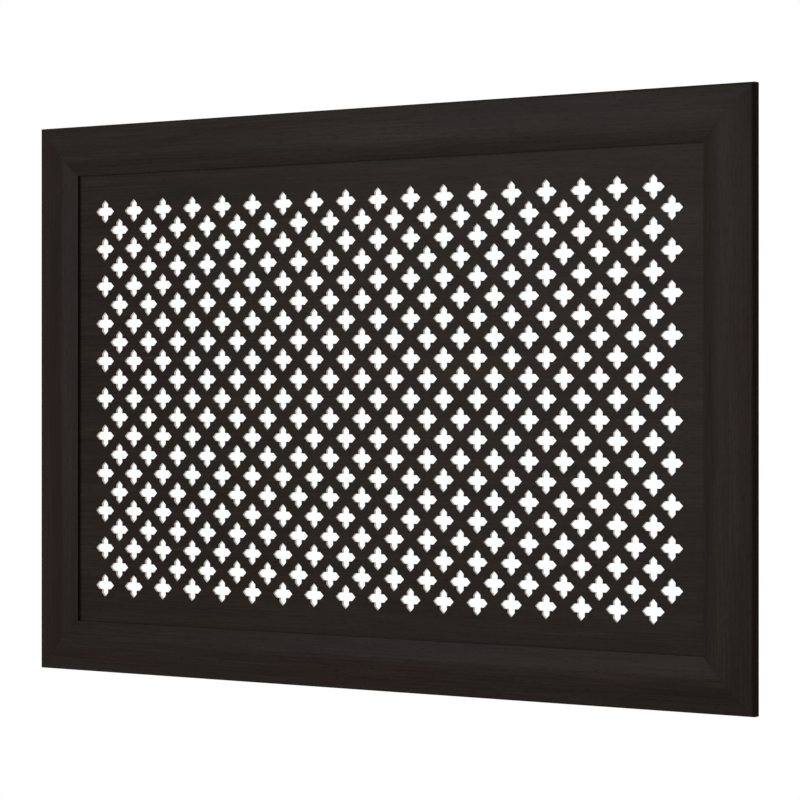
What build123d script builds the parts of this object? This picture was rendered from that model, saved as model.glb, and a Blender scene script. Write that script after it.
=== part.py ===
from build123d import *
import os

# Perforated radiator screen that hangs in front of a radiator.
# A mitred frame of crowned moulding holds a thin perforated panel in a groove.
# Four bent steel brackets stand behind it: the upper pair hooks over the radiator's
# top edge, and all four can be screwed to a wall through their rear flanges.
# All sizes are in millimetres. X is across the screen, -Y is the side that is looked
# at, +Z is up. The origin is the centre of the four fixing holes, on the plane that
# the rear flanges rest against.

# ---- Screen ---------------------------------------------------------------------
screen_width = 900.0
screen_height = 600.0
rail_width = 54.6            # from the outer edge of the frame to its inner lip

# ---- Moulding section: how thick it is over its flat back -------------------------
edge_thickness = 10.8        # at the outer edge
bevel_thickness = 13.2       # where the straight outer bevel ends
crown_thickness = 14.1       # along the crown line
lip_thickness = 10.3         # at the inner lip
bevel_run = 18.5             # from the outer edge to the end of the bevel
crown_run = 34.5             # from the outer edge to the crown line
inner_slope = 0.08           # fall per run of the inner curve where it leaves the crown
edge_round = 2.6
lip_round = 0.6

# ---- Panel ----------------------------------------------------------------------
panel_thickness = 3.0
panel_front = 7.2            # front face of the panel over the flat back of the frame
panel_entry = 7.0            # how far the panel reaches into the groove
groove_clearance = 0.1       # on each face of the panel
groove_end_gap = 0.9         # room for the panel to swell

# ---- Perforation: pointed crosses, every second row shifted by half a pitch ----------
hole_pitch = 41.0
hole_span = 25.07            # from tip to tip of the cross
arm_width = 8.58             # between the inner corners, at the root of each pointed arm
plain_border = 20.0          # least unpierced width between the lip and the crosses

# ---- Corner wedges: V-shaped steel nails across the mitres ----------------------------
wedge_distances = (14.0, 36.0)   # from the outer edges to the point of each V
wedge_wing = 7.0
wedge_thickness = 0.6
wedge_height = 7.0
wedge_half_angle = 52.0          # degrees between the mitre and each wing

# ---- Hanging brackets ---------------------------------------------------------------
bracket_side_inset = 130.0   # from the screen's side edge to the middle of a bracket
bracket_inset = 12.0         # from the screen's top or bottom edge to the arm's outer face
bracket_reach = 38.0         # from the back of the frame to the back of the flange
strip_width = 30.0
strip_thickness = 1.5
bend_radius = 2.0            # inside each bend
strip_corner = 4.0           # rounded corners at both ends of the strip
leg_length = 38.0
flange_length = 28.0
fixing_hole_diameter = 5.0
fixing_hole_setback = 10.0   # from the free end of the flange to the hole
height_travel = 8.0          # how far the screen can be set up or down
slide_clearance = 0.1        # between the strip and what it slides on
slot_clearance = 0.35        # around the screw's shank

# ---- Pan-head screws that hold the brackets --------------------------------------------
screw_spacing = 15.0         # between the two screws of one bracket
screw_diameter = 3.5
screw_length = 12.0          # under the head
screw_point = 3.0
head_diameter = 7.0
head_height = 2.4
head_rim = 0.9               # straight part of the head's side
head_top_diameter = 4.8      # flat top, inside the head's bevelled rim
recess_span = 3.6
recess_width = 0.9
recess_depth = 1.2
thread_clearance = 0.02      # between the screw and the hole that it has cut

# ---- Places that follow from the sizes above ---------------------------------------------
front = Vector(0, -1, 0)
up = Vector(0, 0, 1)
right = Vector(1, 0, 0)
frame_back = front * bracket_reach
panel_back = front * (bracket_reach + panel_front - panel_thickness)

opening_width = screen_width - 2 * rail_width
opening_height = screen_height - 2 * rail_width
groove_depth = panel_entry + groove_end_gap
groove_floor = panel_front - panel_thickness - groove_clearance
groove_roof = panel_front + groove_clearance

bracket_spacing = screen_width - 2 * bracket_side_inset
arm_outer = screen_height / 2 - bracket_inset        # height of the arm's outer face
leg_end = arm_outer - leg_length
flange_end = arm_outer - flange_length
fixing_hole_height = flange_end + fixing_hole_setback
leg_front = slide_clearance - bracket_reach          # Y of the leg's front face
leg_back = leg_front + strip_thickness
head_seat = leg_back + slide_clearance               # Y of the underside of a screw's head
slot_length = 2 * (height_travel + slot_clearance) + screw_diameter
slot_width = screw_diameter + 2 * slot_clearance
screw_height = (leg_end + arm_outer - strip_thickness - bend_radius) / 2


def corner_plane(across, along, distance):
    """Plane on the frame's back at a mitre: X runs out along the mitre, Z goes forward."""
    corner = right * (across * screen_width / 2) + up * (along * screen_height / 2)
    outward = right * across + up * along
    return Plane(frame_back + corner - outward * distance, x_dir=outward, z_dir=front)


def corner_wedge(across, along, distance):
    """A V-shaped nail, driven into the back of the frame across one mitre."""
    with BuildPart() as wedge:
        with BuildSketch(corner_plane(across, along, distance)):
            for side in (-1, 1):
                with Locations(Rotation(0, 0, 180 + side * wedge_half_angle)):
                    Rectangle(wedge_wing, wedge_thickness, align=(Align.MIN, Align.CENTER))
            Circle(wedge_thickness / 2)
        extrude(amount=wedge_height)
    return wedge


def moulding(outward, distance, length, wedges, screw_places):
    """One side of the frame: the section drawn out, mitred, slotted and drilled."""
    middle = frame_back + outward * distance
    run = front.cross(outward)
    with BuildPart() as rail:
        with BuildSketch(Plane(middle, x_dir=-outward, z_dir=run)) as section:
            with BuildLine():
                Polyline((0, 0), (0, edge_thickness), (bevel_run, bevel_thickness))
                bevel = (bevel_run, bevel_thickness - edge_thickness)
                TangentArc((bevel_run, bevel_thickness), (crown_run, crown_thickness), tangent=bevel)
                TangentArc((crown_run, crown_thickness), (rail_width, lip_thickness),
                           tangent=(1, -inner_slope))
                Polyline(
                    (rail_width, lip_thickness),
                    (rail_width, groove_roof),
                    (rail_width - groove_depth, groove_roof),
                    (rail_width - groove_depth, groove_floor),
                    (rail_width, groove_floor),
                    (rail_width, 0),
                    (0, 0),
                )
            make_face()
            outer_corner = section.vertices().group_by(Axis.X)[0].sort_by(Axis.Y)[-1]
            fillet(outer_corner, edge_round)
            lip_corner = section.vertices().group_by(Axis.X)[-1].sort_by(Axis.Y)[-1]
            fillet(lip_corner, lip_round)
        extrude(amount=length / 2, both=True)
        for end in (-1, 1):
            corner = middle + run * (end * length / 2)
            split(bisect_by=Plane(corner, z_dir=run * end - outward), keep=Keep.BOTTOM)
        for place in screw_places:
            with BuildSketch(Plane(middle, x_dir=run, z_dir=front)):
                with Locations(place):
                    Circle(screw_diameter / 2 + thread_clearance)
            extrude(amount=screw_length - head_seat - bracket_reach, mode=Mode.SUBTRACT)
        for wedge in wedges:
            add(wedge.part, mode=Mode.SUBTRACT)
    return rail


def hanging_bracket(across, along):
    """A steel strip bent to a hook: slotted leg, arm, and a drilled flange behind."""
    leg_middle = leg_front + strip_thickness / 2
    arm_middle = arm_outer - strip_thickness / 2
    flange_middle = -strip_thickness / 2
    place = right * (across * bracket_spacing / 2)
    with BuildPart() as bracket:
        with BuildSketch(Plane(place, x_dir=-front, z_dir=right * along)):
            with BuildLine():
                FilletPolyline(
                    (leg_middle, leg_end),
                    (leg_middle, arm_middle),
                    (flange_middle, arm_middle),
                    (flange_middle, flange_end),
                    radius=bend_radius + strip_thickness / 2,
                )
            trace(line_width=strip_thickness)
        extrude(amount=strip_width / 2, both=True)
        by_height = bracket.edges().filter_by(Axis.Y).group_by(Axis((0, 0, 0), up * along))
        fillet(by_height[0] + by_height[1], strip_corner)
        with BuildSketch(Plane(place, x_dir=up * along, z_dir=-front)):
            with Locations((fixing_hole_height, 0)):
                Circle(fixing_hole_diameter / 2)
        extrude(amount=-strip_thickness, mode=Mode.SUBTRACT)
        with BuildSketch(Plane(place - front * leg_back, x_dir=up * along, z_dir=-front)):
            with Locations((screw_height, 0)):
                with GridLocations(0, screw_spacing, 1, 2):
                    SlotOverall(slot_length, slot_width)
        extrude(amount=-strip_thickness, mode=Mode.SUBTRACT)
    return bracket


def pan_head_screw(place):
    """A pan-head screw with a cross recess, driven forward into the back of a rail."""
    seat = place - front * head_seat
    with BuildPart() as screw:
        with BuildSketch(Plane(seat, x_dir=right, z_dir=up)):
            with BuildLine():
                Polyline(
                    (0, head_height),
                    (0, -screw_length),
                    (screw_diameter / 2, screw_point - screw_length),
                    (screw_diameter / 2, 0),
                    (head_diameter / 2, 0),
                    (head_diameter / 2, head_rim),
                    (head_top_diameter / 2, head_height),
                    close=True,
                )
            make_face()
        revolve(axis=Axis(seat, front))
        with BuildSketch(Plane(seat - front * head_height, x_dir=right, z_dir=front)):
            with PolarLocations(0, 2, angular_range=180):
                Rectangle(recess_span, recess_width)
        extrude(amount=recess_depth, mode=Mode.SUBTRACT)
    return screw


def finish(piece, name):
    """Label a finished piece and write it to its own file."""
    piece.part.label = name
    export_step(piece.part, f"parts/{name}.step")


os.makedirs("parts", exist_ok=True)

# ---- Corner wedges ------------------------------------------------------------------------
corners = {
    "upper_left": (-1, 1),
    "upper_right": (1, 1),
    "lower_left": (-1, -1),
    "lower_right": (1, -1),
}
wedges = {}
for corner_name, (across, along) in corners.items():
    for end_name, distance in zip(("outer", "inner"), wedge_distances):
        wedges[f"corner_wedge_{corner_name}_{end_name}"] = corner_wedge(across, along, distance)
for name, wedge in wedges.items():
    finish(wedge, name)

# ---- Brackets and their screws --------------------------------------------------------------
screw_places = []
for corner_name, (across, along) in corners.items():
    finish(hanging_bracket(across, along), f"hanging_bracket_{corner_name}")
    for side_name, side in (("left", -1), ("right", 1)):
        screw_x = across * bracket_spacing / 2 + side * screw_spacing / 2
        place = right * screw_x + up * (along * screw_height)
        screw_places.append(place)
        finish(pan_head_screw(place), f"bracket_screw_{corner_name}_{side_name}")

# ---- Frame ------------------------------------------------------------------------------------
sides = {
    "top_rail": (up, screen_height / 2, screen_width),
    "bottom_rail": (-up, screen_height / 2, screen_width),
    "left_stile": (-right, screen_width / 2, screen_height),
    "right_stile": (right, screen_width / 2, screen_height),
}
for name, (outward, distance, length) in sides.items():
    run = front.cross(outward)
    pilots = [
        (place.dot(run), distance - place.dot(outward))
        for place in screw_places
        if outward.dot(up) * place.dot(up) > 0
    ]
    finish(moulding(outward, distance, length, wedges.values(), pilots), name)

# ---- Perforated panel ---------------------------------------------------------------------------
panel_width = opening_width + 2 * panel_entry
panel_height = opening_height + 2 * panel_entry
pierced_width = opening_width - 2 * plain_border - hole_span
pierced_height = opening_height - 2 * plain_border - hole_span
hole_columns = int((pierced_width - hole_pitch / 2) / hole_pitch) + 1
hole_rows = int(pierced_height / hole_pitch) + 1
arm_tip = hole_span / 2
arm_root = arm_width / 2
diamond_waist = arm_root / (1 - arm_root / arm_tip)

with BuildSketch() as pierced_cross:
    with PolarLocations(0, 2, angular_range=180):
        Polygon((arm_tip, 0), (0, diamond_waist), (-arm_tip, 0), (0, -diamond_waist))

with BuildPart() as perforated_panel:
    with BuildSketch(Plane(panel_back, x_dir=right, z_dir=front)):
        Rectangle(panel_width, panel_height)
        with Locations((-hole_pitch / 4, 0)):
            with GridLocations(hole_pitch, hole_pitch, hole_columns, hole_rows):
                add(pierced_cross.sketch, mode=Mode.SUBTRACT, clean=False)
        with Locations((hole_pitch / 4, 0)):
            with GridLocations(hole_pitch, hole_pitch, hole_columns, hole_rows - 1):
                add(pierced_cross.sketch, mode=Mode.SUBTRACT, clean=False)
    extrude(amount=panel_thickness, clean=False)
finish(perforated_panel, "perforated_panel")
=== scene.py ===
# %% [markdown]
# # A perforated radiator screen
#
# The real object is a flat screen that hangs in front of a radiator. Four lengths of
# moulded fibreboard, wrapped in a dark wenge foil, are mitred into a frame. A thin board
# pierced with rows of pointed crosses sits in a groove inside the frame, and four bent
# steel brackets hold it off the wall.
#
# The solids come in as a fixed frame, which says where everything is. This script gives
# them their finish. It also makes again the pieces whose look asks for more than a solid's
# flat facets: the curved mouldings, the pierced panel, the screws and the wedges.

# %% Load the frame
import math

import bmesh
import bpy
import numpy as np
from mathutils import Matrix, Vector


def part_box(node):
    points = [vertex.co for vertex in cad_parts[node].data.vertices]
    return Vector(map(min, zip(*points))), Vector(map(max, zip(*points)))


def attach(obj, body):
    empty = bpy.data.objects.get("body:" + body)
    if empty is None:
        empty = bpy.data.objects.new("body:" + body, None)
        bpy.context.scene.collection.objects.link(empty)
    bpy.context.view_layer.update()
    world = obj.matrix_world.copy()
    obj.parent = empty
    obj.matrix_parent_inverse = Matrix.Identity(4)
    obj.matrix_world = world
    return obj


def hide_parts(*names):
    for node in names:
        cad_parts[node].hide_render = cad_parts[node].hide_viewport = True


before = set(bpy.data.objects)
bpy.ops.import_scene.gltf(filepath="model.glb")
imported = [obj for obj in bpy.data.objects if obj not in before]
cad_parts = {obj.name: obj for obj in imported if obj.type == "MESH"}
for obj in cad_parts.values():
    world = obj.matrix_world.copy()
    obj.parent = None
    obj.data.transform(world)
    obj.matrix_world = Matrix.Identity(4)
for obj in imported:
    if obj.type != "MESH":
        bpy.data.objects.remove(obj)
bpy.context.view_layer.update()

# %% [markdown]
# ## Colours and nodes
#
# Colours are written as hex codes, which follow the screen's curve. Blender's shaders
# work with linear light, so one function turns the first into the second. Another adds a
# node, sets it and links it, so that a material can be read as a short list of steps.

# %% Helpers for colours and nodes
MM = 0.001


def linear(hex_code):
    """The screen's curve undone: c/12.92 up to 0.04045, then ((c + 0.055)/1.055)^2.4."""
    srgb = np.array([int(hex_code[i:i + 2], 16) for i in (1, 3, 5)]) / 255
    light = np.where(srgb <= 0.04045, srgb / 12.92, ((srgb + 0.055) / 1.055) ** 2.4)
    return (*light.tolist(), 1.0)


def add_node(tree, kind, inputs=None, **settings):
    """Add a node, apply its settings, then link or set each of its inputs."""
    node = tree.nodes.new(kind)
    for name, value in settings.items():
        setattr(node, name, value)
    for name, value in (inputs or {}).items():
        if isinstance(value, bpy.types.NodeSocket):
            tree.links.new(value, node.inputs[name])
        else:
            node.inputs[name].default_value = value
    return node


def colour_steps(ramp, steps):
    """Give a Color Ramp node its stops, as pairs of a place from 0 to 1 and a hex code."""
    stops = ramp.color_ramp.elements
    while len(stops) < len(steps):
        stops.new(0.5)
    for stop, (place, hex_code) in zip(stops, steps):
        stop.position = place
        stop.color = linear(hex_code)


def new_material(name, **constants):
    """A node material with the shader's fixed values set on the shader's own sockets."""
    material = bpy.data.materials.new(name)
    material.use_nodes = True
    shader = material.node_tree.nodes["Principled BSDF"]
    for socket, value in constants.items():
        shader.inputs[socket.replace("_", " ")].default_value = value
    return material, material.node_tree, shader


print("middle grey #808080 is", round(linear("#808080")[0], 3), "in linear light")

# %% [markdown]
# ## From arrays to a mesh
#
# Every new piece is worked out as one array of points. The first helper puts the points
# and faces into a mesh, smooths the faces that curve and leaves an edge sharp where two
# faces meet at a clear angle. The signed volume is printed, because it comes out positive
# only when the surface is closed and all its faces point outwards.
#
# Most pieces are rings of points, one behind the other: a moulding is its section at both
# ends, a screw is a stack of circles. The second helper joins such rings with faces.

# %% Helpers that build a piece
SMOOTH_BELOW = math.radians(25)
CM3_PER_M3 = 1e6


def build_piece(name, points, faces, face_material, materials, grain=None):
    """Points in millimetres and faces as lists of their numbers become one object. Grain
    is a pair per point, along and across the wood's grain, kept as the map of that name."""
    mesh = bpy.data.meshes.new(name)
    mesh.from_pydata((points * MM).tolist(), [], faces)
    mesh.polygons.foreach_set("material_index", np.asarray(face_material, np.int32))
    mesh.polygons.foreach_set("use_smooth", np.ones(len(mesh.polygons), bool))
    for material in materials:
        mesh.materials.append(material)
    if grain is not None:
        corner_point = np.empty(len(mesh.loops), np.int32)
        mesh.loops.foreach_get("vertex_index", corner_point)
        layer = mesh.uv_layers.new(name="grain")
        layer.data.foreach_set("uv", (grain[corner_point] * MM).astype(np.float32).ravel())
    mesh.set_sharp_from_angle(angle=SMOOTH_BELOW)
    mesh.validate()
    piece = bpy.data.objects.new(name, mesh)
    bpy.context.scene.collection.objects.link(piece)
    shell = bmesh.new()
    shell.from_mesh(mesh)
    volume = shell.calc_volume(signed=True) * CM3_PER_M3
    loose = sum(not edge.is_manifold for edge in shell.edges)
    shell.free()
    print(f"{name}: {len(points)} points, {len(faces)} faces,",
          f"{volume:.2f} cm3, {loose} open edges")
    return piece


def ring_faces(rings, count):
    """Four-sided faces between rings of count points, with a cap on the first and last."""
    here = np.arange(count)
    ahead = (here + 1) % count
    bands = [np.stack([here, ahead, ahead + count, here + count], 1) + count * ring
             for ring in range(rings - 1)]
    caps = [here[::-1].tolist(), (here + count * (rings - 1)).tolist()]
    return np.vstack(bands).tolist() + caps


print("two rings of four points make a box of", len(ring_faces(2, 4)), "faces")

# %% [markdown]
# ## The wenge foil
#
# The frame and the panel are wrapped in a printed and embossed foil that imitates wenge,
# a straight-grained wood with fine, nearly black veins. A picture of wood would do, but
# it would be fixed in size. Noise stretched far along the grain gives the same streaks at
# any size: one noise for broad bands, one for the veins and one for the short pores that
# are pressed into the foil. The map named grain tells it which way the wood runs, so the
# streaks turn with each side of the frame and go round its edges.

# %% Streaks along the grain
BAND_LENGTH, BAND_WIDTH = 280, 16      # millimetres, broad bands of tone
VEIN_LENGTH, VEIN_WIDTH = 70, 2.2      # the veins, drawn a little coarser to be seen
PORE_LENGTH, PORE_WIDTH = 9, 0.8       # pores, twice their real width to be seen
STREAK_BREAKUP, STREAK_WAVER = 0.55, 0.15
SEED_SLANT = 3.1                       # a seed moves the noise across more than along


def streaks(tree, grain, seed, length, width, detail, shift):
    """Noise read at the grain map divided by length and width, so that one cycle of it is
    that many millimetres long and wide. Seed and shift move it to another place."""
    stretched = add_node(tree, "ShaderNodeMapping", {
        "Vector": grain,
        "Location": (seed + shift, SEED_SLANT * seed + shift, 0),
        "Scale": (1 / (length * MM), 1 / (width * MM), 1),
    })
    return add_node(tree, "ShaderNodeTexNoise", {
        "Vector": stretched.outputs["Vector"], "Scale": 1.0, "Detail": detail,
        "Roughness": STREAK_BREAKUP, "Distortion": STREAK_WAVER,
    }).outputs["Fac"]


print("veins are", round(VEIN_LENGTH / VEIN_WIDTH), "times as long as they are wide")

# %% [markdown]
# One recipe serves for every foil. Bands and veins together pick a colour from a ramp, and
# a slower noise warms or cools it. The pores are darker and pressed in, and the lacquer
# shines a little less on the pale veins.

# %% Wenge foil
# Decor foil on fibreboard, printed, embossed and satin-lacquered: dark brown to nearly
# black streaks with a soft, low sheen that never turns into a mirror. Along the outer
# edges the foil has no lacquer, so it is matt there and looks darker, and a painted
# shade darkens its colour there too.
SATIN = {"specular": 0.0425, "roughness": (0.23, 0.32)}
MATT = {"specular": 0.004, "roughness": (0.55, 0.65)}
WENGE_TINTS = [(0.35, "#fff4ee"), (0.65, "#f6f8ff")]
BAND_SHARE = 0.42                      # of the figure, with the rest from the veins
PORE_FROM, PORE_FULL = 0.60, 0.70      # where the pores' noise starts and is full
PORE_COLOUR, PORE_DEPTH, PORE_RELIEF = "#120d0b", 0.05, 0.6


def wenge_foil(name, seed, veins, cast, specular, roughness):
    """Streaked dark foil: ramp(figure) x ramp(tint) x cast, darkened where a pore is, for
    figure = (1 - share) vein + share band. The cast is a painted shade."""
    material, tree, shader = new_material(name, IOR=1.5, Specular_IOR_Level=specular)
    grain = add_node(tree, "ShaderNodeUVMap", uv_map="grain").outputs["UV"]
    band = streaks(tree, grain, seed, BAND_LENGTH, BAND_WIDTH, detail=2, shift=0)
    vein = streaks(tree, grain, seed, VEIN_LENGTH, VEIN_WIDTH, detail=4, shift=11)
    pore = streaks(tree, grain, seed, PORE_LENGTH, PORE_WIDTH, detail=1, shift=23)
    tint = streaks(tree, grain, seed, BAND_LENGTH, BAND_WIDTH * 2, detail=1, shift=37)

    figure = add_node(tree, "ShaderNodeMix", {
        "Factor": BAND_SHARE, "A": vein, "B": band}, data_type="FLOAT").outputs["Result"]
    wood = add_node(tree, "ShaderNodeValToRGB", {"Fac": figure})
    colour_steps(wood, veins)
    drift = add_node(tree, "ShaderNodeValToRGB", {"Fac": tint})
    colour_steps(drift, WENGE_TINTS)
    tinted = wood.outputs["Color"]
    for filter_colour in (drift.outputs["Color"], linear(cast)):
        tinted = add_node(tree, "ShaderNodeMix", {
            "Factor": 1.0, "A": tinted, "B": filter_colour},
            data_type="RGBA", blend_type="MULTIPLY").outputs["Result"]
    pressed = add_node(tree, "ShaderNodeMapRange", {
        "Value": pore, "From Min": PORE_FROM, "From Max": PORE_FULL,
        "To Min": 0.0, "To Max": 1.0}).outputs["Result"]
    dark = add_node(tree, "ShaderNodeMix", {
        "Factor": pressed, "A": tinted, "B": linear(PORE_COLOUR)}, data_type="RGBA")
    sheen = add_node(tree, "ShaderNodeMapRange", {
        "Value": vein, "To Min": roughness[0], "To Max": roughness[1]})
    height = add_node(tree, "ShaderNodeMath", {0: 1.0, 1: pressed}, operation="SUBTRACT")
    bump = add_node(tree, "ShaderNodeBump", {
        "Height": height.outputs["Value"], "Strength": PORE_RELIEF,
        "Distance": PORE_DEPTH * MM})
    tree.links.new(dark.outputs["Result"], shader.inputs["Base Color"])
    tree.links.new(sheen.outputs["Result"], shader.inputs["Roughness"])
    tree.links.new(bump.outputs["Normal"], shader.inputs["Normal"])
    return material


print("pores are", PORE_DEPTH, "mm deep, and the satin's specular level", SATIN["specular"])

# %% [markdown]
# The frame's foil and the panel's come off different rolls, so each has its own colours
# and its own seed. Each side of the frame also takes a slight cast over its whole length,
# which is painted shade: the left one is darker and redder than the others, for the
# sheen that its bevel misses as it tilts away from the light.

# %% The foils of this screen
MOULDING_SEED, PANEL_SEED = 12.0, 26.0
MOULDING_VEINS = [
    (0.30, "#1b1513"), (0.45, "#211b18"), (0.57, "#25201c"), (0.70, "#2f2722")]
PANEL_VEINS = [
    (0.30, "#191310"), (0.45, "#1f1915"), (0.57, "#241e19"), (0.70, "#2d2620")]
# Painted shade: a cast per side, darkest and reddest on the left, where least sheen falls.
SIDE_SHADE_CASTS = {"top_rail": "#fdffff", "bottom_rail": "#fff7f9",
              "left_stile": "#edd9d8", "right_stile": "#fff8f6"}
# Painted shade: the edges' cast darkens the matt foil on the outer edges; the panel has
# none.
EDGE_SHADE_CAST, NO_SHADE_CAST = "#f4f2ee", "#ffffff"

moulding_foils = {
    side: wenge_foil("satin_wenge_foil_on_" + side, MOULDING_SEED, MOULDING_VEINS, cast,
                     **SATIN)
    for side, cast in SIDE_SHADE_CASTS.items()}
edge_foil = wenge_foil(
    "matt_wenge_foil_on_edges", MOULDING_SEED, MOULDING_VEINS, EDGE_SHADE_CAST, **MATT)
panel_foil = wenge_foil(
    "satin_wenge_foil_on_panel", PANEL_SEED, PANEL_VEINS, NO_SHADE_CAST, **SATIN)
print("made", len(moulding_foils), "foils for the sides,", edge_foil.name, panel_foil.name)

# %% [markdown]
# ## Raw fibreboard
#
# Where the board is cut or left unwrapped, its pressed wood fibres show. A picture of it
# would have to be large to keep its fibres small, so this too is made of noise: a fine
# speckle the size of the fibres over slow clouds of tone. It has no direction, and it
# reads the place on the object itself, so no map is needed.

# %% Raw fibreboard
# Medium-density fibreboard, pressed and then sawn or sanded: matt, without any grain
# direction, its tone broken by fibres about a millimetre long.
FIBRE_SIZE, CLOUD_SIZE = 1.1, 60                # millimetres
FIBRES_FROM, FIBRES_FULL, FIBRES_COVER = 0.52, 0.74, 0.55
FIBRE_HEIGHT, FIBRE_RELIEF = 0.06, 0.35


def fibreboard(name, clouds, fibres, roughness):
    """Slow clouds of tone with a fine speckle of fibres laid over them, where the fibres'
    noise is over a limit. Both read the place on the object, divided by their size."""
    material, tree, shader = new_material(
        name, Roughness=roughness, IOR=1.45, Specular_IOR_Level=0.2)
    place = add_node(tree, "ShaderNodeTexCoord").outputs["Object"]
    cloud = add_node(tree, "ShaderNodeTexNoise", {
        "Vector": place, "Scale": 1 / (CLOUD_SIZE * MM), "Detail": 3.0})
    speckle = add_node(tree, "ShaderNodeTexNoise", {
        "Vector": place, "Scale": 1 / (FIBRE_SIZE * MM), "Detail": 2.0,
        "Distortion": 1.5})
    ground = add_node(tree, "ShaderNodeValToRGB", {"Fac": cloud.outputs["Fac"]})
    colour_steps(ground, clouds)
    strength = add_node(tree, "ShaderNodeMapRange", {
        "Value": speckle.outputs["Fac"], "From Min": FIBRES_FROM,
        "From Max": FIBRES_FULL, "To Max": FIBRES_COVER})
    colour = add_node(tree, "ShaderNodeMix", {
        "Factor": strength.outputs["Result"], "A": ground.outputs["Color"],
        "B": linear(fibres)}, data_type="RGBA")
    bump = add_node(tree, "ShaderNodeBump", {
        "Height": speckle.outputs["Fac"], "Strength": FIBRE_RELIEF,
        "Distance": FIBRE_HEIGHT * MM})
    tree.links.new(colour.outputs["Result"], shader.inputs["Base Color"])
    tree.links.new(bump.outputs["Normal"], shader.inputs["Normal"])
    return material


print("the board's clouds are", CLOUD_SIZE, "mm across, its fibres", FIBRE_SIZE, "mm")

# %% [markdown]
# Three boards show: brown ones on the frame's back and in its mitres, and a pale one in
# the panel, which is thinner. Its near-white tone is partly painted light, for the white
# background that shines on the walls of its holes. The upright sides come from a darker
# board than the rails, so the mitres can be made out on the back too.

# %% The boards of this screen
raw_moulding = {
    "rail": fibreboard(
        "sawn_fibreboard_of_rails", [(0.35, "#a5835f"), (0.65, "#b8956f")],
        fibres="#8a6846", roughness=0.85),
    "stile": fibreboard(
        "sawn_fibreboard_of_stiles", [(0.35, "#967555"), (0.65, "#a98763")],
        fibres="#7c5c3d", roughness=0.85),
}
# Partly painted light: the panel's board is near white for the background's light on its
# hole walls.
raw_panel = fibreboard(
    "pale_pierced_fibreboard", [(0.35, "#ddd6ca"), (0.65, "#e8e2d8")],
    fibres="#c8bda9", roughness=0.8)
print("made", [board.name for board in (*raw_moulding.values(), raw_panel)])

# %% [markdown]
# ## The moulding's section
#
# Seen from its end, each side of the frame has a straight bevel that rises from the outer
# edge, a crown line a little past the middle, and a gentle curve that falls to the lip
# over the panel. A chain of straight lines and arcs gives it, as on a drawing. The arcs
# have many more points than the solid's facets, so highlights slide over them smoothly.
# Two helpers draw the arcs. The last number that they take is how many points they give.

# %% Lines and arcs
def arc_points(start, end, heading, count):
    """The circle that leaves start along heading and passes through end. It turns by
    twice the angle from heading to chord, round a centre at d.d / (2 n.d) along the
    heading's normal n, for a chord d."""
    start, chord = np.array(start, float), np.subtract(end, start)
    normal = np.array([-heading[1], heading[0]]) / np.hypot(*heading)
    centre = start + normal * (chord @ chord) / (2 * normal @ chord)
    cross = heading[0] * chord[1] - heading[1] * chord[0]
    angle = np.linspace(0, 2 * math.atan2(cross, np.dot(heading, chord)), count)
    x, y = start - centre
    turned = [x * np.cos(angle) - y * np.sin(angle), x * np.sin(angle) + y * np.cos(angle)]
    return centre + np.stack(turned, 1)


def rounded_corner(before, corner, after, radius, count):
    """A corner cut back on both sides by radius / tan(half its angle), joined by an arc."""
    back, ahead = np.subtract(before, corner), np.subtract(after, corner)
    back, ahead = back / np.hypot(*back), ahead / np.hypot(*ahead)
    cut = radius / math.tan(math.acos(back @ ahead) / 2)
    return arc_points(corner + cut * back, corner + cut * ahead, -back, count)


print("a quarter circle:", arc_points((1, 0), (0, 1), (0, 1), 3).round(3).tolist())

# %% [markdown]
# The sizes below are the drawing's, in millimetres. A point of the section is a pair: how
# far in it lies from the frame's outer edge, and how far above the flat back. The line
# starts on the back, goes up round the outer edge, over the front, down into the groove
# that holds the panel, and on to the back again. It has three finishes: matt foil, satin
# foil and bare board.

# %% The moulding's section
RAIL_WIDTH = 54.6
EDGE_THICKNESS, BEVEL_THICKNESS, CROWN_THICKNESS, LIP_THICKNESS = 10.8, 13.2, 14.1, 10.3
BEVEL_RUN, CROWN_RUN, INNER_SLOPE = 18.5, 34.5, 0.08
EDGE_ROUND, LIP_ROUND, BACK_ROUND, GROOVE_ROUND = 2.9, 0.3, 0.4, 0.2
PANEL_THICKNESS, PANEL_FRONT = 3.0, 7.2
GROOVE_DEPTH, GROOVE_CLEARANCE = 7.9, 0.1
FOIL_UNDERLAP = 4.0            # how far the foil is turned on to the back
FOIL_IN_GROOVE = 3.0           # and how far it reaches into the groove
LACQUER_FROM = 8               # the lacquer starts at this point of the outer edge's arc

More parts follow.
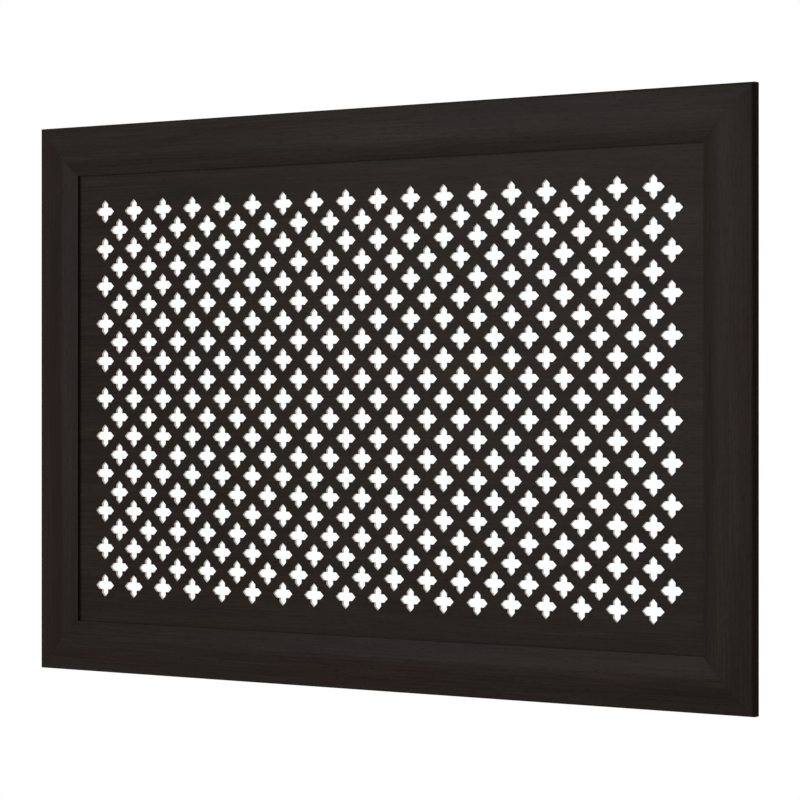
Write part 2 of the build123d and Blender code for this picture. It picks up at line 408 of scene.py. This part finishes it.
bevel_start, bevel_end = (0, EDGE_THICKNESS), (BEVEL_RUN, BEVEL_THICKNESS)
crown, lip = (CROWN_RUN, CROWN_THICKNESS), (RAIL_WIDTH, LIP_THICKNESS)
groove_roof = PANEL_FRONT + GROOVE_CLEARANCE
groove_floor = PANEL_FRONT - PANEL_THICKNESS - GROOVE_CLEARANCE
bevel_heading = np.subtract(bevel_end, bevel_start)
inner_curve = arc_points(crown, lip, (1, -INNER_SLOPE), 24)
outer_curve = rounded_corner((0, 0), bevel_start, bevel_end, EDGE_ROUND, 12)
matt_line = np.vstack([
    (FOIL_UNDERLAP, 0),
    rounded_corner((FOIL_UNDERLAP, 0), (0, 0), bevel_start, BACK_ROUND, 4),
    outer_curve[:LACQUER_FROM],
])
satin_line = np.vstack([
    outer_curve[LACQUER_FROM:],
    arc_points(bevel_end, crown, bevel_heading, 14),
    inner_curve[1:-1],
    rounded_corner(inner_curve[-2], lip, (RAIL_WIDTH, groove_roof), LIP_ROUND, 6),
    rounded_corner(lip, (RAIL_WIDTH, groove_roof), (0, groove_roof), GROOVE_ROUND, 3),
    (RAIL_WIDTH - FOIL_IN_GROOVE, groove_roof),
])
raw_line = np.array([
    (RAIL_WIDTH - GROOVE_DEPTH, groove_roof),
    (RAIL_WIDTH - GROOVE_DEPTH, groove_floor),
    (RAIL_WIDTH, groove_floor),
    (RAIL_WIDTH, 0),
])
section = np.vstack([matt_line, satin_line, raw_line])
# The finish of the face after each point. A face that leads into a line takes its finish.
SATIN_FOIL, MATT_FOIL, RAW_BOARD = range(3)
finish_from = np.repeat((MATT_FOIL, SATIN_FOIL, RAW_BOARD),
                        (len(matt_line) - 1, len(satin_line), len(raw_line) + 1))
print("section:", len(section), "points, highest", section[:, 1].max().round(2), "mm")

# %% [markdown]
# ## The four sides of the frame
#
# A moulding is a section carried along a line, so each side is the section repeated at
# both of its ends and joined up. The mitre comes from the section itself: a point that
# lies further in stops shorter by the same amount. A hair's breadth of every end is eased
# off, which draws the fine line that a mitre shows on the real frame. For that, the first
# helper moves an outline inwards.

# %% Carrying the section along a side
MITRE_EASE = 0.12
FRONT = np.array([0.0, -1.0, 0.0])
GRAIN_STEP, GRAIN_SLANT = 500, 7       # keep the four sides' grain apart


def shifted_outline(outline, distance):
    """A closed outline moved to the left of its travel: each point goes by distance times
    (a + b) / (1 + a.b), where a and b are the unit normals of its two edges."""
    edges = np.roll(outline, -1, axis=0) - outline
    normals = np.stack([-edges[:, 1], edges[:, 0]], 1)
    normals /= np.linalg.norm(normals, axis=1)[:, None]
    before = np.roll(normals, 1, axis=0)
    lean = 1 + (before * normals).sum(1)
    return outline + distance * (before + normals) / lean[:, None]


def carry_section(outward, back_y, distance, half_length):
    """Rings of the section at both mitres, and their grain. A point a millimetres in from
    the outer edge ends at half_length - a along the run, its thickness over the back."""
    outward = np.array(outward, float)
    run = np.cross(FRONT, outward)
    eased = shifted_outline(section, -MITRE_EASE)
    rings, along = [], []
    for outline, ease, end in ((eased, 0, 1), (section, MITRE_EASE, 1),
                               (section, MITRE_EASE, -1), (eased, 0, -1)):
        reach = end * (half_length - outline[:, 0] - ease)
        across = outward * (distance - outline[:, :1]) + FRONT * outline[:, 1:]
        rings.append(across + run * reach[:, None])
        along.append(reach)
    steps = np.linalg.norm(np.diff(section, axis=0), axis=1)
    girth = np.tile(np.concatenate([[0], np.cumsum(steps)]), len(rings))
    shift = GRAIN_STEP * distance * (outward[0] + 2 * outward[2])
    grain = np.stack([np.concatenate(along) + shift, girth + shift / GRAIN_SLANT], 1)
    return np.vstack(rings) + np.array([0, back_y, 0]), grain


print("each end of a side is eased by", MITRE_EASE, "mm")

# %% [markdown]
# The sides stand where their solids stand: the box of the top rail gives half the frame's
# width, half its height and the depth of its back.

# %% The four sides of the frame
sides = {
    "top_rail": (0, 0, 1), "bottom_rail": (0, 0, -1),
    "left_stile": (-1, 0, 0), "right_stile": (1, 0, 0),
}
half_width, frame_back, half_height = (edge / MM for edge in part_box("top_rail")[1])
side_faces = ring_faces(4, len(section))
side_finishes = np.concatenate([np.tile(finish_from, 3), [RAW_BOARD, RAW_BOARD]])
for node, outward in sides.items():
    halves = (half_height, half_width) if outward[2] else (half_width, half_height)
    points, grain = carry_section(outward, frame_back, *halves)
    finishes = moulding_foils[node], edge_foil, raw_moulding[node.split("_")[1]]
    side = build_piece(
        "foil_wrapped_" + node, points, side_faces, side_finishes, finishes, grain)
    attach(side, "screen")
    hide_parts(node)

# %% [markdown]
# ## The pierced panel
#
# The panel is a thin board with 378 crosses punched through it, every second row shifted
# by half a step. Cutting 378 holes out of a sheet is slow, and it leaves stray edges. The
# rows have a better pattern in them: turn a square by 45 degrees, put a cross in it, and
# copies of that one tile cover the whole field with no gaps. So one tile is worked out,
# and adding the array of centres to it makes all the others at once. A border of simple
# four-sided faces fills in from the zigzag of the outermost tiles to the board's edges.

# %% One tile of the panel
HOLE_PITCH, HOLE_SPAN, ARM_WIDTH = 41.0, 25.07, 8.58
PUNCH_EASE = 0.2               # the punched edge rolls in by this much at the front
COLUMNS, ROWS = 18, 11
tip, arm = HOLE_SPAN / 2, ARM_WIDTH / 2
shoulder = tip - arm           # the arm's sides run straight to here, then at 45 degrees
QUARTER_TURN = np.array([(0, 1), (-1, 0)])


def four_ways(points):
    """Points (x, z) with their copies turned by one, two and three quarter turns."""
    turns = [np.linalg.matrix_power(QUARTER_TURN, turn) for turn in range(4)]
    return np.vstack([np.array(points) @ turn for turn in turns])


cross_outline = four_ways([(tip, 0), (shoulder, arm), (arm, arm), (arm, shoulder)])
eased_outline = shifted_outline(cross_outline, -PUNCH_EASE)
tile_corners = four_ways([(HOLE_PITCH / 2, 0)])
print("the cross has", len(cross_outline), "corners, the tile", len(tile_corners))

# %% [markdown]
# The tile has a front, a back and the walls of its hole. The front's hole is a touch
# larger, so a narrow sloping face lies between it and the wall: the edge that a punch
# rolls in. Every face is kept as its own list of points here, with no numbers yet.

# %% The faces of one tile
panel_low, panel_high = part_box("perforated_panel")
panel_front, panel_back = panel_low.y / MM, panel_high.y / MM


def at_depth(outline, y):
    """Points of the panel's plane, (x, z), set at the depth y."""
    return np.stack([outline[..., 0], np.full(outline.shape[:-1], y), outline[..., 1]], -1)


def quarters(outline, y):
    """The tile round one hole as four faces: a tile edge, then the outline turned back."""
    here = np.arange(len(tile_corners))
    ahead = (here + 1) % len(tile_corners)
    back_along = (4 * here[:, None] + np.arange(4, -1, -1)) % len(outline)
    outer = tile_corners[np.stack([here, ahead], 1)]
    return at_depth(np.concatenate([outer, outline[back_along]], 1), y)


def wall(near, near_y, far, far_y):
    """Four-sided faces from an outline at one depth to its like at another. They look to
    the left of its travel: into a hole, or out from the rim."""
    ring = at_depth(near, near_y), at_depth(far, far_y)
    ahead = np.roll(ring[0], -1, axis=0), np.roll(ring[1], -1, axis=0)
    return np.stack([ring[0], ahead[0], ahead[1], ring[1]], 1)


tile = {
    "front": quarters(eased_outline, panel_front),
    "roll": wall(eased_outline, panel_front, cross_outline, panel_front + PUNCH_EASE),
    "wall": wall(cross_outline, panel_front + PUNCH_EASE, cross_outline, panel_back),
    "back": quarters(cross_outline, panel_back)[:, ::-1],
}
print("faces in one tile:", {part: len(faces) for part, faces in tile.items()})

# %% [markdown]
# The centres of the crosses are two regular grids, one inside the other: eleven rows, and
# ten more in the gaps between them, half a step to the right.

# %% The centres of the crosses
column = (np.arange(COLUMNS) - (COLUMNS - 1) / 2) * HOLE_PITCH
row = (np.arange(ROWS) - (ROWS - 1) / 2) * HOLE_PITCH
half_pitch = HOLE_PITCH / 2
main = np.stack(np.meshgrid(column - half_pitch / 2, 0, row), -1).reshape(-1, 3)
offset = np.stack(
    np.meshgrid(column + half_pitch / 2, 0, row[:-1] + half_pitch), -1).reshape(-1, 3)
centres = np.vstack([main, offset])
print("crosses:", len(centres))

# %% [markdown]
# The outermost tiles leave a zigzag round the field, a half step at a time. A border of
# four-sided faces joins that zigzag to the board's straight edges, and one more face
# fills each corner. The rim lists the points along the board's edge, for its narrow sides.

# %% The border round the crosses
def line(x, z):
    """Points (x, z), with either one repeated where it is a single number."""
    return np.stack(np.broadcast_arrays(x, z), -1).astype(float)


def strip(inner, outer):
    """Four-sided faces between two lines of points, with the inner line on the right."""
    return np.stack([inner[:-1], inner[1:], outer[1:], outer[:-1]], 1)


first_x, last_x = main[:, 0].min() - half_pitch, main[:, 0].max() + half_pitch
first_z, last_z = row[0], row[-1]
left, right, low, high = (side / MM for side in (
    panel_low.x, panel_high.x, panel_low.z, panel_high.z))
across = np.arange(2 * COLUMNS + 1)
upward = np.arange(2 * ROWS - 1)
zig_x, zig_z = first_x + across * half_pitch, first_z + upward * half_pitch
out_across, out_upward = across % 2 * half_pitch, upward % 2 * half_pitch
border = np.concatenate([
    strip(line(zig_x, last_z + out_across), line(zig_x, high)),
    strip(line(zig_x, first_z - out_across)[::-1], line(zig_x, low)[::-1]),
    strip(line(first_x + out_upward, zig_z), line(left, zig_z)),
    strip(line(last_x + out_upward, zig_z)[::-1], line(right, zig_z)[::-1]),
    [line((first_x, first_x, left, left), (last_z, high, high, last_z)),
     line((last_x, right, right, last_x), (last_z, last_z, high, high)),
     line((first_x, left, left, first_x), (first_z, first_z, low, low)),
     line((last_x, last_x, right, right), (first_z, low, low, first_z))],
])
rim = np.vstack([
    line(left, (low, *zig_z)), line((left, *zig_x), high),
    line(right, (high, *zig_z[::-1])), line((right, *zig_x[::-1]), low)])
print("border:", len(border), "faces, rim:", len(rim), "points")

# %% [markdown]
# Each tile's faces are added to every centre by broadcasting, which gives a heap of loose
# faces. Points that fall in the same place are then made one, by rounding them and asking
# numpy for the different ones, and the heap is a closed surface. The foil covers the
# front, and everything else is raw board.

# %% The whole panel
FOIL_FACE, RAW_FACE = range(2)
heap = [((centres[:, None, None] + faces).reshape(-1, *faces.shape[1:]),
         RAW_FACE if part in ("wall", "back") else FOIL_FACE)
        for part, faces in tile.items()]
heap += [(at_depth(border, panel_front), FOIL_FACE),
         (at_depth(border, panel_back)[:, ::-1], RAW_FACE),
         (wall(rim, panel_front, rim, panel_back), RAW_FACE)]

loose_points = np.vstack([loose.reshape(-1, 3) for loose, _ in heap])
points, number = np.unique(loose_points.round(4), axis=0, return_inverse=True)
counts = [loose[..., 0].size for loose, _ in heap]
numbers = np.split(number.ravel(), np.cumsum(counts)[:-1])
faces, face_finish = [], []
for (loose, finish), these in zip(heap, numbers):
    faces += these.reshape(loose.shape[:2]).tolist()
    face_finish += [finish] * len(loose)

panel = build_piece("pierced_panel", points, faces, face_finish,
                    (panel_foil, raw_panel), points[:, [0, 2]])
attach(panel, "screen")
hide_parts("perforated_panel")

# %% [markdown]
# ## Zinc and steel behind the screen
#
# The fittings behind the screen are of steel. A metal shows little but reflections, so
# what makes it look real is less its colour than how its roughness changes: clouds where
# the plating came out uneven, and the fine lines that are left by rolling the strip. Two
# noises give them, and the lines' noise is also pressed in a little.

# %% Steel with clouds and lines
LINE_SHARE, LINE_HEIGHT, LINE_RELIEF = 0.4, 0.02, 0.25
SHEEN_FROM, SHEEN_FULL = 0.3, 0.7               # the noise's usual lowest and highest


def steel_finish(name, tones, roughness, cloud_size, line_size):
    """Clouds of tone and roughness, with fine lines stretched along one direction. The
    roughness follows (1 - share) cloud + share lines, between its two given limits."""
    material, tree, shader = new_material(name, Metallic=1.0)
    place = add_node(tree, "ShaderNodeTexCoord").outputs["Object"]
    cloud = add_node(tree, "ShaderNodeTexNoise", {
        "Vector": place, "Scale": 1 / (cloud_size * MM), "Detail": 4.0,
        "Roughness": 0.6})
    stretched = add_node(tree, "ShaderNodeMapping", {
        "Vector": place, "Scale": [1 / (size * MM) for size in line_size]})
    lines = add_node(tree, "ShaderNodeTexNoise", {
        "Vector": stretched.outputs["Vector"], "Scale": 1.0, "Detail": 2.0})
    tone = add_node(tree, "ShaderNodeValToRGB", {"Fac": cloud.outputs["Fac"]})
    colour_steps(tone, tones)
    mixed = add_node(tree, "ShaderNodeMix", {
        "Factor": LINE_SHARE, "A": cloud.outputs["Fac"], "B": lines.outputs["Fac"]},
        data_type="FLOAT")
    gloss = add_node(tree, "ShaderNodeMapRange", {
        "Value": mixed.outputs["Result"], "From Min": SHEEN_FROM, "From Max": SHEEN_FULL,
        "To Min": roughness[0], "To Max": roughness[1]})
    bump = add_node(tree, "ShaderNodeBump", {
        "Height": lines.outputs["Fac"], "Strength": LINE_RELIEF,
        "Distance": LINE_HEIGHT * MM})
    tree.links.new(tone.outputs["Color"], shader.inputs["Base Color"])
    tree.links.new(gloss.outputs["Result"], shader.inputs["Roughness"])
    tree.links.new(bump.outputs["Normal"], shader.inputs["Normal"])
    return material


print("lines give", LINE_SHARE, "of the sheen and are", LINE_HEIGHT, "mm high")

# %% [markdown]
# Zinc plating is a bright grey, and the screws' is the brightest. The wedges have none.
# The bent brackets keep the solids they came with, whose flat faces and round bends are
# right as they are, and only take the zinc. Each metal gives the size of its clouds, and
# the size of its lines along x, y and z, all in millimetres.

# %% The metals of this screen
# Electroplated zinc on rolled steel strip: cool light grey with satin clouds.
# The rolled lines are drawn 0.5 mm apart, coarser than they are, so that they show.
ROLLED_LINE, ROLLED_LENGTH = 0.5, 40
zinc_strip = steel_finish(
    "zinc_plated_rolled_steel", [(0.35, "#b4b7b9"), (0.65, "#cdcfd0")],
    roughness=(0.26, 0.42), cloud_size=9,
    line_size=(ROLLED_LINE, ROLLED_LENGTH, ROLLED_LENGTH))
# Cold-headed steel, plated in a drum: brighter, with a fine speckle in place of lines.
zinc_screw = steel_finish(
    "zinc_plated_screw_steel", [(0.35, "#c2c4c4"), (0.65, "#d6d6d2")],
    roughness=(0.18, 0.30), cloud_size=3, line_size=(0.4, 0.4, 0.4))
# Hardened spring steel, punched from strip and left in its dark mill scale.
wedge_steel = steel_finish(
    "punched_spring_steel", [(0.35, "#6f7276"), (0.65, "#8d9094")],
    roughness=(0.34, 0.5), cloud_size=2, line_size=(0.3, 0.3, 3))

for node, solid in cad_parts.items():
    if node.startswith("hanging_bracket"):
        solid.material_slots[0].material = zinc_strip
        print("zinc on", node)

# %% [markdown]
# ## Screws
#
# A screw is turned and rolled, so it is made of rings round an axis. Two things keep it
# from being a plain profile that is spun. The thread winds up the shank, so there the
# radius depends on the angle too. The cross in the head is pressed in, so the rings change
# from a circle at the rim to the outline of a cross in the middle. Both are one grid, with
# a row of points for each ring. Each ring has 36 points, and their angles crowd together
# where the cross has its corners.

# %% The cross in the head
CROSS_SPAN, CROSS_WIDTH, CROSS_DEPTH, CROSS_TAPER = 3.6, 0.9, 1.2, 0.55

tip_angle = math.degrees(math.atan2(CROSS_WIDTH, CROSS_SPAN))
quarter = np.radians([-45, -34, -24, -tip_angle, -5, 5, tip_angle, 24, 34])
angle = (quarter + np.arange(4)[:, None] * np.pi / 2).ravel()


def cross_radius():
    """How far the cross reaches at each angle: the nearer one of the arm's end, at
    span / 2 / cos, and of its side, at width / 2 / sin, of the angle to the arm."""
    end = CROSS_SPAN / 2 / np.cos(quarter)
    side = CROSS_WIDTH / 2 / np.abs(np.sin(quarter))
    return np.tile(np.minimum(end, side), 4)


print("the cross reaches", cross_radius().min().round(2), "to",
      cross_radius().max().round(2), "mm over", len(angle), "angles")

# %% [markdown]
# The shank comes first, from its point up to the head, then the head, from its flat
# underside over the dome and down into the cross. Lying in one grid, they are one surface.

# %% Rings of one screw
HEAD_RADIUS, HEAD_HEIGHT, HEAD_RIM, HEAD_CHAMFER, DOME_POWER = 3.5, 2.4, 0.6, 0.15, 2.2
SHANK_RADIUS, THREAD_DEPTH, THREAD_PITCH = 1.75, 0.55, 1.4
SCREW_LENGTH, POINT_LENGTH, POINT_RADIUS = 12.0, 3.0, 0.06
RINGS_PER_TURN = 10
THREAD_SLOPE = 3               # the ridge takes two parts in three of the pitch


def thread_rings():
    """Rings up the shank. The ridge is a triangle wave of height / pitch - angle / 360
    degrees. It tapers with the point and fades out under the head."""
    count = round(SCREW_LENGTH / THREAD_PITCH * RINGS_PER_TURN)
    height = np.linspace(-SCREW_LENGTH, 0, count)[:, None]
    phase = (height / THREAD_PITCH - angle / (2 * np.pi)) % 1
    ridge = THREAD_DEPTH * np.maximum(0, 1 - THREAD_SLOPE * np.abs(phase - 0.5))
    ridge = ridge * np.clip(-height, 0, 1)
    taper = np.clip((height + SCREW_LENGTH) / POINT_LENGTH, 0, 1)
    radius = POINT_RADIUS + taper * (SHANK_RADIUS - THREAD_DEPTH - POINT_RADIUS + ridge)
    return radius, height + 0 * radius


def head_rings():
    """The rim, then rings over the dome that go from circle to cross, and the recess. The
    dome is rim + (height - rim) (1 - (r / R)^2.2)^(1 / 2.2)."""
    blend = np.array([0, 0.04, 0.1, 0.2, 0.35, 0.55, 0.75, 1])[:, None]
    radius = (1 - blend) * HEAD_RADIUS + blend * cross_radius()
    rise = np.maximum(0, 1 - (radius / HEAD_RADIUS) ** DOME_POWER) ** (1 / DOME_POWER)
    height = HEAD_RIM + (HEAD_HEIGHT - HEAD_RIM) * rise
    under = np.array([[HEAD_RADIUS - HEAD_CHAMFER], [HEAD_RADIUS]]) + 0 * angle
    floor = CROSS_TAPER * cross_radius()[None]
    radii = np.vstack([under, radius, floor])
    heights = np.vstack([under * 0 + [[0], [HEAD_CHAMFER]], height,
                         floor * 0 + HEAD_HEIGHT - CROSS_DEPTH])
    return radii, heights


screw_radius, screw_height = (np.vstack(pair) for pair in zip(thread_rings(), head_rings()))
print("one screw:", screw_radius.shape, "rings and angles")

# %% [markdown]
# Each screw stands where its solid stands. Its box gives the axis and the top of the head.
# Screws never stop at the same angle, and nor do these.

# %% The eight screws
STOP_STEP = math.radians(37)
screw_nodes = [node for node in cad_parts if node.startswith("bracket_screw")]
screw_faces = ring_faces(*screw_radius.shape)
for number, node in enumerate(screw_nodes):
    low, high = (np.array(corner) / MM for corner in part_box(node))
    stop_angle = angle + STOP_STEP * number
    points = np.stack([
        (low[0] + high[0]) / 2 + screw_radius * np.sin(stop_angle),
        high[1] - HEAD_HEIGHT + screw_height,
        (low[2] + high[2]) / 2 + screw_radius * np.cos(stop_angle),
    ], -1).reshape(-1, 3)
    screw = build_piece("threaded_" + node, points, screw_faces,
                        np.zeros(len(screw_faces)), [zinc_screw])
    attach(screw, "screen")
    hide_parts(node)

# %% [markdown]
# ## Wedges across the mitres
#
# Glued mitres are held by V-shaped nails of spring steel, which a press drives into the
# back. Only the end of each can be seen. It is one outline, a bent strip, carried down
# into the wood, and it is thinned at the bottom to the edge that cuts. The real end is
# flush with the board. It stands out by a hair here, because two faces in one plane would
# flicker. The middle of the strip is drawn first, as two straight wings and a bend.

# %% The outline of a wedge
WEDGE_WING, WEDGE_THICKNESS, WEDGE_BEND, WEDGE_TURN = 7.0, 0.6, 0.9, 52
WEDGE_DEPTHS = np.array([-0.12, 0.1, 5.6, 6.9])          # below the board's back
WEDGE_SCALES = np.array([0.8, 1.0, 1.0, 0.2])            # of its thickness, at those depths

wing = np.radians([180 - WEDGE_TURN, 180 + WEDGE_TURN])
wing_ends = WEDGE_WING * np.stack([np.cos(wing), np.sin(wing)], 1)
bend = rounded_corner(wing_ends[0], np.zeros(2), wing_ends[1], WEDGE_BEND, 9)
middle_line = np.vstack([wing_ends[0], bend, wing_ends[1]])
heading = np.gradient(middle_line, axis=0)
heading /= np.linalg.norm(heading, axis=1)[:, None]
beside = np.stack([-heading[:, 1], heading[:, 0]], 1) * WEDGE_THICKNESS / 2
rings = np.stack([
    np.vstack([middle_line + scale * beside, (middle_line - scale * beside)[::-1]])
    for scale in WEDGE_SCALES])
print("a wedge is", len(rings), "rings of", len(rings[0]), "points")

# %% [markdown]
# Two wedges cross each mitre. The name of the node says which corner it is in and which
# of the two it is, and the point of its V lies on the mitre, as far in as given here.

# %% The eight wedges
WEDGE_PLACES = {"outer": 14.0, "inner": 36.0}            # from the frame's outer edges
wedge_nodes = [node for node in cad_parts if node.startswith("corner_wedge")]
wedge_faces = ring_faces(*rings.shape[:2])
for node in wedge_nodes:
    level, hand, place = node.split("_")[2:]
    outward = np.array([1 if hand == "right" else -1, 0, 1 if level == "upper" else -1])
    apex = outward * (half_width, 0, half_height) - outward * WEDGE_PLACES[place]
    along_mitre = outward / math.sqrt(2)
    across_mitre = np.cross(along_mitre, FRONT)
    depth = WEDGE_DEPTHS[:, None, None] * FRONT + np.array([0, frame_back, 0])
    points = apex + depth + rings[..., :1] * along_mitre + rings[..., 1:] * across_mitre
    wedge = build_piece("driven_" + node, points.reshape(-1, 3), wedge_faces,
                        np.zeros(len(wedge_faces)), [wedge_steel])
    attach(wedge, "screen")
    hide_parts(node)

# %% [markdown]
# ## The camera
#
# The even rows of crosses make the photograph easy to measure: their perspective gives a
# level camera, 35.4 degrees to the right of the panel's normal, with a long lens. It is
# placed by that angle and its distance from the origin, a few millimetres aside and up. A
# very small shift of the lens puts the horizon on the row where the photograph has it.

# %% Camera
CAMERA_TURN = math.radians(35.387)
CAMERA_DISTANCE, CAMERA_SIDESTEP, CAMERA_HEIGHT = 3166.84, 5.29, 6.13   # millimetres
FOCAL_PIXELS, IMAGE_PIXELS, SENSOR_WIDTH = 3039.95, 800, 36.0
AXIS_ROW = 392.89              # where the lens axis meets the image

ahead = np.array([-math.sin(CAMERA_TURN), math.cos(CAMERA_TURN), 0])
aside = np.array([math.cos(CAMERA_TURN), math.sin(CAMERA_TURN), 0])
lens = bpy.data.cameras.new("camera")
lens.sensor_width = SENSOR_WIDTH
lens.lens = FOCAL_PIXELS * SENSOR_WIDTH / IMAGE_PIXELS
lens.shift_y = AXIS_ROW / IMAGE_PIXELS - 0.5
camera = bpy.data.objects.new("camera", lens)
camera.location = (aside * CAMERA_SIDESTEP - ahead * CAMERA_DISTANCE) * MM
camera.location.z = CAMERA_HEIGHT * MM
camera.rotation_euler = (math.pi / 2, 0, CAMERA_TURN)
bpy.context.scene.collection.objects.link(camera)
bpy.context.scene.camera = camera
print("lens", round(lens.lens, 2), "mm, camera at", [round(v, 4) for v in camera.location])

# %% [markdown]
# ## Light
#
# The photograph is lit like most catalogue pictures: one large soft light, a little above
# the screen and to the left of its middle, and none on the right, where the frame's edge
# falls dark. A second soft light stands behind, where it only helps the views from the
# back. Everything that the lights miss gets the world's even glow.

# %% Lights
scene = bpy.context.scene
scene.view_settings.view_transform = "Standard"


def soft_light(name, azimuth, elevation, distance, size, watts):
    """A square light aimed at the origin. Azimuth 0 is in front, positive to the right."""
    turn, tilt = math.radians(azimuth), math.radians(elevation)
    towards = np.array([math.sin(turn) * math.cos(tilt),
                        -math.cos(turn) * math.cos(tilt), math.sin(tilt)])
    light = bpy.data.lights.new(name, "AREA")
    light.shape = "SQUARE"
    light.size = size
    light.energy = watts
    lamp = bpy.data.objects.new(name, light)
    lamp.location = towards * distance
    lamp.rotation_euler = (math.pi / 2 - tilt, 0, turn)
    lamp.visible_camera = False
    scene.collection.objects.link(lamp)


soft_light("key_light", azimuth=-19.5, elevation=12.5, distance=3.5, size=2.5, watts=66)
soft_light("back_light", azimuth=-150, elevation=40, distance=3.2, size=2.0, watts=12)

# %% [markdown]
# The background is pure white, but a world that is white all round would wash the object
# out. The Light Path node tells apart what a ray is for. Rays from the camera, and those
# that a metal mirrors, see white; all others see a soft grey glow.

# %% World
AMBIENT = 0.50


def straight_sight(tree):
    """1 for rays from the camera, for mirrored ones and for those that pass through glass,
    and 0 for the scattered ones that carry the light."""
    path = add_node(tree, "ShaderNodeLightPath").outputs
    seen = add_node(tree, "ShaderNodeMath", {
        0: path["Is Camera Ray"], 1: path["Is Glossy Ray"]},
        operation="ADD", use_clamp=True)
    return add_node(tree, "ShaderNodeMath", {
        0: seen.outputs["Value"], 1: path["Is Transmission Ray"]},
        operation="ADD", use_clamp=True).outputs["Value"]


world = bpy.data.worlds.new("white_studio")
scene.world = world
world.use_nodes = True
sky = world.node_tree
background = sky.nodes["Background"]
strength = add_node(sky, "ShaderNodeMath", {
    0: straight_sight(sky), 1: 1 - AMBIENT, 2: AMBIENT}, operation="MULTIPLY_ADD")
background.inputs["Color"].default_value = linear("#ffffff")
sky.links.new(strength.outputs["Value"], background.inputs["Strength"])
print("world glow:", AMBIENT)

# %% [markdown]
# ## The floor
#
# The screen hangs free, so its floor lies well below it: the camera's level view never
# meets it, and views from above show the soft shadow. The floor is a round sheet that
# fades out towards its rim, so that no edge or horizon crosses the white background.

# %% The floor's sheet
FLOOR_HEIGHT, FLOOR_RADIUS, FLOOR_MIDDLE = -0.95, 3.0, 0.02     # metres
FLOOR_RINGS, FLOOR_SPOKES = 12, 72
ring, spoke = np.meshgrid(
    np.linspace(FLOOR_RADIUS, FLOOR_MIDDLE, FLOOR_RINGS),
    np.linspace(0, 2 * np.pi, FLOOR_SPOKES, endpoint=False), indexing="ij")
floor_points = np.stack([ring * np.cos(spoke), ring * np.sin(spoke),
                         np.full(ring.shape, FLOOR_HEIGHT)], -1).reshape(-1, 3)
# Of the two caps only the small one in the middle is wanted, and not the one on the rim.
*floor_faces, _, middle_cap = ring_faces(FLOOR_RINGS, FLOOR_SPOKES)
floor_mesh = bpy.data.meshes.new("floor")
floor_mesh.from_pydata(floor_points.tolist(), [], floor_faces + [middle_cap])
floor = bpy.data.objects.new("floor", floor_mesh)
scene.collection.objects.link(floor)
print("floor:", len(floor_points), "points at", FLOOR_HEIGHT, "m")

# %% [markdown]
# Its paper is matt and hardly off white. The distance from the middle sets how solid it
# is, and with a little glow for the eye alone it looks paler than it is lit, so that it
# keeps the screen's shadow and still melts into the white behind it.

# %% The floor's paper
# Matt studio paper off a roll, with a tone that wanders a little.
FADE_FROM = 1.5                # metres from the middle
FLOOR_LIFT = 0.35              # how much paler the paper is seen than it is lit
TONE_CYCLES = 1.2              # per metre
paper, paper_tree, paper_shader = new_material(
    "studio_paper", Roughness=0.9, Specular_IOR_Level=0.1)
spot = add_node(paper_tree, "ShaderNodeTexCoord").outputs["Object"]
shade = add_node(paper_tree, "ShaderNodeTexNoise", {
    "Vector": spot, "Scale": TONE_CYCLES, "Detail": 2.0})
tone = add_node(paper_tree, "ShaderNodeValToRGB", {"Fac": shade.outputs["Fac"]})
colour_steps(tone, [(0.3, "#e9e8e5"), (0.7, "#efeeec")])
radius = add_node(paper_tree, "ShaderNodeVectorMath", {0: spot}, operation="LENGTH")
fade = add_node(paper_tree, "ShaderNodeMapRange", {
    "Value": radius.outputs["Value"], "From Min": FADE_FROM, "From Max": FLOOR_RADIUS,
    "To Min": 1.0, "To Max": 0.0}, interpolation_type="SMOOTHSTEP")
paper_tree.links.new(tone.outputs["Color"], paper_shader.inputs["Base Color"])
paper_tree.links.new(fade.outputs["Result"], paper_shader.inputs["Alpha"])
lift = add_node(paper_tree, "ShaderNodeMath", {
    0: straight_sight(paper_tree), 1: FLOOR_LIFT}, operation="MULTIPLY")
paper_shader.inputs["Emission Color"].default_value = linear("#ffffff")
paper_tree.links.new(lift.outputs["Value"], paper_shader.inputs["Emission Strength"])
floor_mesh.materials.append(paper)
print("paper fades out from", FADE_FROM, "to", FLOOR_RADIUS, "m")
